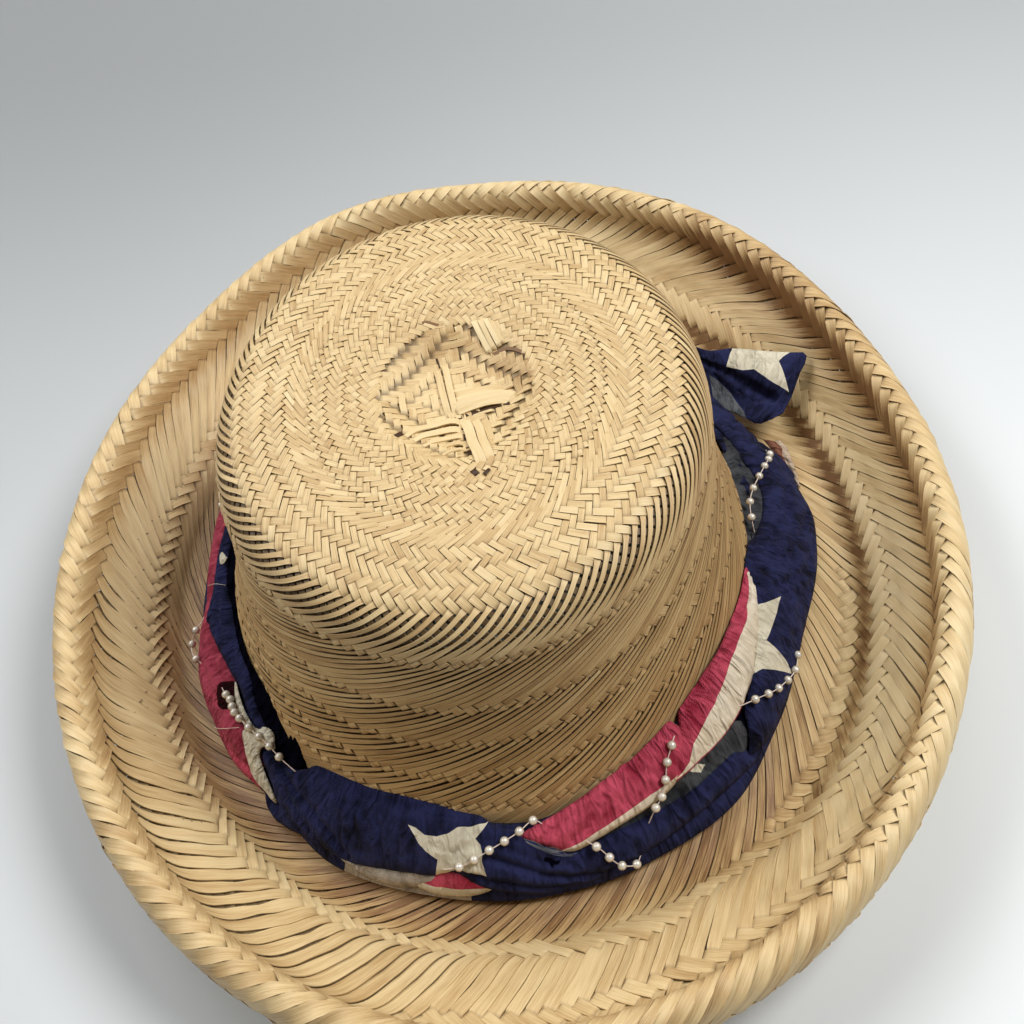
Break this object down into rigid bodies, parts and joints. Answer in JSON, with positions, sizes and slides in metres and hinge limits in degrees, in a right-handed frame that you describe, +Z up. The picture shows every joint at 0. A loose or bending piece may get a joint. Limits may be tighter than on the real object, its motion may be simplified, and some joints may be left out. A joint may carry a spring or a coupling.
{
  "type": "splint-woven straw hat with a cloth band and bead string",
  "caption": "Woven straw hat with a tapered crown, sunken top, dished brim and rolled rim, with a twisted cloth band and a bead string round the crown.",
  "frame": {"origin": "under the middle of the brim, on the surface that the hat rests on", "axes": "+Z up through the crown, +Y along the long way of the oval"},
  "size_m": [0.2938, 0.341, 0.0985],
  "materials": {
    "straw": "smooth flat splints, satin, in a diagonal twill",
    "cloth": "plain cotton in navy, red and cream with sewn-look stars",
    "pearl": "pearly gloss"
  },
  "bodies": {
    "root": {"woven_body": "straw", "cloth_band": "cloth", "band_knot": "cloth", "star_tail": "cloth", "plain_tail": "cloth", "bead_string": "pearl"}
  },
  "joints": []
}
